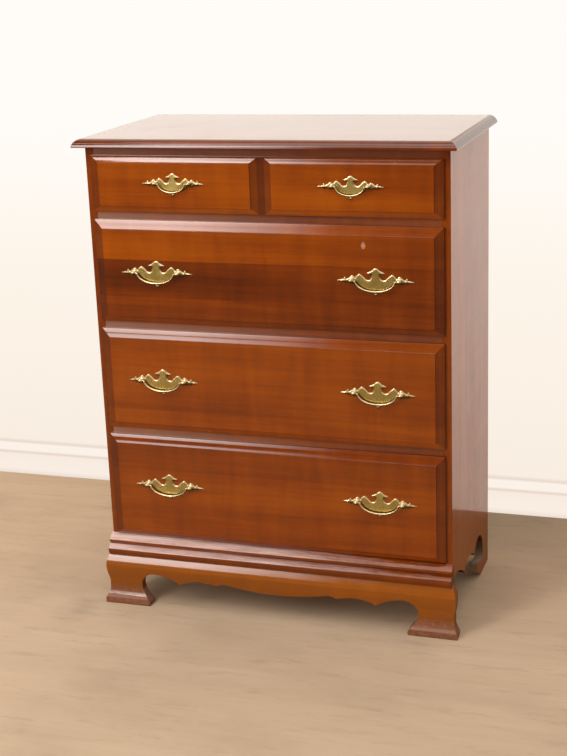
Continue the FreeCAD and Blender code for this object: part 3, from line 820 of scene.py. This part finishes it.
def bail(name, x, z, pull, ball, tree, finish):
    """Half an ellipse between short straight pins that go into the balls."""
    radius, depth = pull["rod"], BAIL_DEPTH * pull["scale"][1]
    half = pull["boring"] / 2 - ball - radius - BAIL_GAP
    turn = math.pi / BAIL_CORNERS
    grow = 1 / math.cos(turn / 2)
    angles = [turn * (index + 0.5) for index in range(BAIL_CORNERS)]
    corners = [(-half * grow * math.cos(a), -depth * grow * math.sin(a)) for a in angles]
    pin = half + radius + BAIL_GAP + ball * 0.3
    spots = [Vector((x + u, 0, z + v)) for u, v in [(-pin, 0), (-half, 0)] + corners + [(half, 0), (pin, 0)]]
    radii = []
    for before, corner, after in zip(spots, spots[1:], spots[2:]):
        into, out = corner - before, after - corner
        radii.append(BAIL_SOFTNESS * min(into.length, out.length) / math.tan(into.angle(out) / 2))
    path = [at(p.x, -FIELD - POST_REACH, p.z) for p in rounded(spots, radii)]
    return grown(name, path, tree, radius, finish)


# Putting it together --------------------------------------------------------------------------

def repaint(node, finish):
    """Gives a part that keeps its plain shape its finish."""
    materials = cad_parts[node].data.materials
    materials.clear()
    materials.append(finish)


def dress_case():
    upright = lacquered_cherry("upright cherry", "Z", seed=2.0, lift=-0.06, bare_cuts_lit_sides=True)
    # The rails take a pale painted reflection on the left; the top rail, shaded under the top, takes less of
    # it.
    across = lacquered_cherry("rail cherry", "X", seed=6.0, satin=0.35, matte=0.2, painted_left_glow=0.75)
    shaded = lacquered_cherry("top rail cherry", "X", seed=7.0, lift=-0.02, satin=0.3, matte=0.2, painted_left_glow=0.5)
    base = lacquered_cherry("base cherry", "X", seed=9.0, lift=0.1, yellowed=0.35)
    beads = lacquered_cherry("moulding cherry", "X", seed=8.0, lift=-0.08, yellowed=0.04)
    inner = {letter: bare_wood("poplar along " + letter.lower(), letter) for letter in "XYZ"}
    top = top_board()
    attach(top, "case")
    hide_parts("top_board")
    for made, node in ((base_moulding(beads), "base_moulding"), (base_apron(base), "base_apron")):
        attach(made, "case")
        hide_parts(node)
    finishes = {"side_left": upright, "side_right": upright, "top_rail": shaded, "drawer_rail_1": across,
                "drawer_rail_2": across, "drawer_rail_3": across, "bottom_rail": across,
                "back_panel": hardboard(), "back_screws": plated_steel()}
    finishes.update({"rear_rail_%d" % number: inner["X"] for number in range(1, 6)})
    for side in ("left", "right"):
        finishes.update({"side_runners_" + side: inner["Y"], "foot_block_" + side: inner["Z"]})
    for node, finish in finishes.items():
        repaint(node, finish)
    return inner


FRONTS = {
    "top_drawer": ((19, 17.5, 14, 13), 12.0, SMALL_PULL, dict(
        seams=((0, 0.0), (955, 0.35), (1200, 0.1)), seed=11.0, lift=0.06, marks=((287, 1028, 1.2),),
        wash=0.6)),
    "upper_drawer": ((19, 0, 14, 20), 0.0, LARGE_PULL, dict(
        seams=((0, 0), (712, 0.0), (728, 0.22), (812, -0.08), (1200, 0.85)), seed=21.0, lift=-0.15,
        marks=((218, 858, 5.0),), wash=0.6)),
    "middle_drawer": ((19, 0, 14, 20), 0.0, LARGE_PULL, dict(
        seams=((0, 0), (470, 0.24), (1200, 0.0)), seed=27.0, lift=0.08, marks=((-143, 431, 1.4),))),
    "lower_drawer": ((19, 0, 12, 20), 0.0, LARGE_PULL, dict(
        seams=((0, 0), (236, 0.25), (330, 0.18), (1200, 0.0)), seed=33.0))}


def dress_pulls(body, pull, rod, metal):
    """Hangs a drawer's two bails, then fits their plates and posts."""
    low, high = box_mm(body + "_pull_posts")
    z = (low[2] + high[2]) / 2
    ball = (high[2] - low[2]) / 2
    centres = []
    for side in ("left", "right"):
        node = "%s_bail_%s" % (body, side)
        bail_low, bail_high = box_mm(node)
        centres.append((bail_low[0] + bail_high[0]) / 2)
        made = bail("%s_hanging_bail_%s" % (body, side), centres[-1], z, pull, ball, rod, metal)
        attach(made, "%s_handle_%s" % (body, side))
        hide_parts(node)
    plate = plate_shape(*pull["scale"])
    brasses = ((pull_plates(body + "_batwing_plates", centres, z, plate, metal), "_pull_plates"),
               (pull_posts(body + "_ball_posts", centres, z, pull["boring"], ball, metal), "_pull_posts"))
    for made, node in brasses:
        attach(made, body)
        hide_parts(body + node)


def dress_drawers(inner, metal):
    rod = rod_tree()
    for body, (bevels, valley, pull, wood) in FRONTS.items():
        finish = lacquered_cherry(body + " cherry", "X", **wood)
        front = drawer_front(body + "_front", body + "_face", bevels, valley, finish)
        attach(front, body)
        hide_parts(body + "_front")
        for part, letter in (("side_left", "Y"), ("side_right", "Y"), ("back", "X"), ("bottom", "X")):
            repaint("%s_%s" % (body, part), inner[letter])
        dress_pulls(body, pull, rod, metal)


# Stage ---------------------------------------------------------------------------------------

WALL_BEHIND = 713.0           # from the case's face back to the wall
STAGE_HALF = 5200.0           # the floor's reach to each side and towards the camera
WALL_HEIGHT = 4200.0
CHEST_MIDDLE = (0, 0, 620)
WINDOW = dict(place=(-1270, -3000, 2925), target=(-1270, 0, 2925), size=(1.9, 3.75), strength=10.4,
              colour=(1.0, 0.97, 0.94))
CEILING = dict(place=(200, -1000, 3500), target=CHEST_MIDDLE, size=(3.2, 2.6), strength=1.75,
               colour=(1.0, 0.97, 0.93))
CAMERA_PLACE = (1008.8, -2887.4, 1470.9)
CAMERA_TURN = (-18.7095, 16.6205, 2.19874)   # yaw, pitch and roll in degrees
CAMERA_LENS = 70.50
SENSOR_WIDTH = 36.0


def stage_sheet(name, start, end, finish):
    """A flat sheet as wide as the stage, from one (y, z) line to another."""
    corners = [at(x, *line) for x, line in ((-STAGE_HALF, start), (STAGE_HALF, start),
                                            (STAGE_HALF, end), (-STAGE_HALF, end))]
    mesh = bpy.data.meshes.new(name)
    mesh.from_pydata([tuple(c) for c in corners], [], [(0, 1, 2, 3)])
    mesh.materials.append(finish)
    made = placed(name, mesh)
    return made


def floor_finish():
    f = Finish("pale floor")
    streaks = f.noise(f.stretch((1.2, 14.0, 1.0)), detail=5.0, rough=0.6, distortion=0.6)
    colour = f.ramp(streaks, [(0.3, tint(194, 168, 140)), (0.7, tint(205, 179, 151))])
    patches = f.noise(f.stretch((2.4, 3.6, 1.0)), detail=6.0, rough=0.62)
    colour = f.mix(f.ramp(patches, [(0.3, 0.3), (0.52, 0.0)]), colour, tint(150, 130, 108))
    scuffs = f.noise(f.stretch((7.0, 30.0, 1.0)), detail=6.0, rough=0.7)
    colour = f.mix(f.ramp(scuffs, [(0.3, 0.28), (0.46, 0.0)]), colour, tint(138, 118, 100))
    smudge = f.distance(at(-455, -75, 0), (1, 0.8, 0))
    smudge = f.maths("MULTIPLY_ADD", scuffs, 0.12, smudge)
    colour = f.mix(f.ramp(smudge, [(0.06, 0.3), (0.13, 0.0)]), colour, tint(120, 104, 92))
    # Glossy rays see the floor darker: painted shade in what the wood and brass reflect.
    rays = f.add("ShaderNodeLightPath", output="Is Glossy Ray")
    f.set(Base_Color=f.mix(rays, colour, tint(128, 112, 86)), Roughness=0.7, Specular_IOR_Level=0.2)
    return f.material


def wall_finish():
    """Glows pale to the camera and to glossy rays, with painted light and painted shadow lines in that glow;
    plain paint to the rest, and clear from behind.
    """
    f = Finish("white backdrop")
    rays = f.tree.nodes.new("ShaderNodeLightPath").outputs
    # The baseboard, with painted shadow lines under its mouldings and painted shade along the floor.
    board = f.ramp(f.maths("MULTIPLY", f.axis("Z"), 5.0), [
        (0.0, tint(236, 222, 210)), (0.08, tint(250, 238, 228)), (0.3, tint(248, 234, 222)),
        (0.33, tint(228, 212, 198)), (0.36, tint(252, 241, 231)), (0.46, tint(252, 242, 232)),
        (0.49, tint(232, 216, 203)), (0.54, tint(249, 237, 225))])
    # Painted light: the wall grows paler towards the top.
    paint = f.ramp(f.axis("Z"), [(0.1, tint(249, 237, 225)), (0.65, tint(254, 245, 234)),
                                 (1.0, tint(255, 252, 247))])
    seen_colour = f.mix(f.ramp(f.axis("Z"), [(0.108, 0.0), (0.112, 1.0)]), board, paint)
    # Glossy rays see the wall darker low down and pale higher up: a painted reflection of the room's light.
    mirrored = f.ramp(f.axis("Z"), [(0.1, tint(216, 200, 186)), (0.8, tint(254, 243, 231))])
    f.set(Base_Color=tint(244, 238, 230), Roughness=0.9)
    glow = f.add("ShaderNodeEmission", {"Color": f.mix(rays["Is Glossy Ray"], seen_colour, mirrored)})
    direct = f.maths("MAXIMUM", rays["Is Camera Ray"], rays["Is Glossy Ray"])
    seen = f.add("ShaderNodeMixShader", {0: direct, 1: f.surface.outputs[0], 2: glow})
    behind = f.add("ShaderNodeNewGeometry", output="Backfacing")
    clear = f.add("ShaderNodeBsdfTransparent")
    feed(f.tree, f.result, f.add("ShaderNodeMixShader", {0: behind, 1: seen, 2: clear}))
    return f.material


def set_stage():
    stage_sheet("floor", (-STAGE_HALF, 0), (WALL_BEHIND, 0), floor_finish())
    stage_sheet("backdrop", (WALL_BEHIND, 0), (WALL_BEHIND, WALL_HEIGHT), wall_finish())


def area_light(name, place, target, size, strength, colour):
    """A soft rectangular lamp whose face has about the given brightness, where 1 is white."""
    data = bpy.data.lights.new(name, "AREA")
    data.shape, data.size, data.size_y = "RECTANGLE", size[0], size[1]
    data.energy = strength * size[0] * size[1] * math.pi
    data.color = colour
    lamp = placed(name, data)
    lamp.location = at(*place)
    lamp.rotation_euler = (at(*target) - at(*place)).to_track_quat("-Z", "Y").to_euler()
    return lamp


def fade(lamp):
    """Dims a lamp to nothing on its right, as a drawn curtain does, and partly towards its foot."""
    lamp.use_nodes = True
    tree = lamp.node_tree
    tree.nodes.clear()
    place = add_node(tree, "ShaderNodeNewGeometry", output="Parametric")
    across, up = (add_node(tree, "ShaderNodeSeparateXYZ", {0: place}, letter) for letter in "XY")
    curtain = add_node(tree, "ShaderNodeMapRange", {
        "Value": maths(tree, "MULTIPLY_ADD", up, 0.2, across), "From Min": 0.80, "From Max": 0.42}, "Result")
    foot = add_node(tree, "ShaderNodeMapRange", {
        "Value": up, "From Max": 0.6, "To Min": 0.56, "To Max": 1.1}, "Result")
    glow = add_node(tree, "ShaderNodeEmission", {"Strength": maths(tree, "MULTIPLY", curtain, foot)})
    feed(tree, tree.nodes.new("ShaderNodeOutputLight").inputs["Surface"], glow)


def light_room():
    """A plain sky for most rays, a dim room for the gloss, white for the camera, and two lamps."""
    world = bpy.data.worlds.new("studio")
    bpy.context.scene.world = world
    world.use_nodes = True
    tree = world.node_tree
    tree.nodes.clear()
    rays = tree.nodes.new("ShaderNodeLightPath").outputs
    way = add_node(tree, "ShaderNodeTexCoord", output="Generated")
    above = add_node(tree, "ShaderNodeMapRange", {
        "Value": add_node(tree, "ShaderNodeSeparateXYZ", {0: way}, "Z"), "From Min": 0.3, "From Max": 0.75,
        "To Min": 0.05, "To Max": 0.22}, "Result")
    sky, room, white = (
        add_node(tree, "ShaderNodeBackground", {"Color": colour, "Strength": strength})
        for colour, strength in (((1.0, 0.97, 0.93, 1), 0.55), ((1.0, 0.93, 0.85, 1), above),
                                 ((1.0, 0.98, 0.95, 1), 1.0)))
    lit = add_node(tree, "ShaderNodeMixShader", {0: rays["Is Glossy Ray"], 1: sky, 2: room})
    seen = add_node(tree, "ShaderNodeMixShader", {0: rays["Is Camera Ray"], 1: lit, 2: white})
    feed(tree, tree.nodes.new("ShaderNodeOutputWorld").inputs["Surface"], seen)
    window = area_light("window", **WINDOW)
    fade(window.data)
    area_light("ceiling", **CEILING)


def set_camera():
    """Stands to the right of the chest and above it, looking down and a little left."""
    yaw, pitch, roll = (math.radians(a) for a in CAMERA_TURN)
    ahead = Vector((math.sin(yaw) * math.cos(pitch), math.cos(yaw) * math.cos(pitch), -math.sin(pitch)))
    right = Vector((math.cos(yaw), -math.sin(yaw), 0))
    down = ahead.cross(right)
    across = right * math.cos(roll) + down * math.sin(roll)
    below = -right * math.sin(roll) + down * math.cos(roll)
    data = bpy.data.cameras.new("camera")
    data.lens, data.sensor_width, data.sensor_fit = CAMERA_LENS, SENSOR_WIDTH, "AUTO"
    camera = placed("camera", data)
    turn = Matrix((across, -below, -ahead)).transposed().to_4x4()
    camera.matrix_world = Matrix.Translation(at(*CAMERA_PLACE)) @ turn
    bpy.context.scene.camera = camera


bpy.context.scene.view_settings.view_transform = "Standard"
dress_drawers(dress_case(), brass())
set_stage()
light_room()
set_camera()
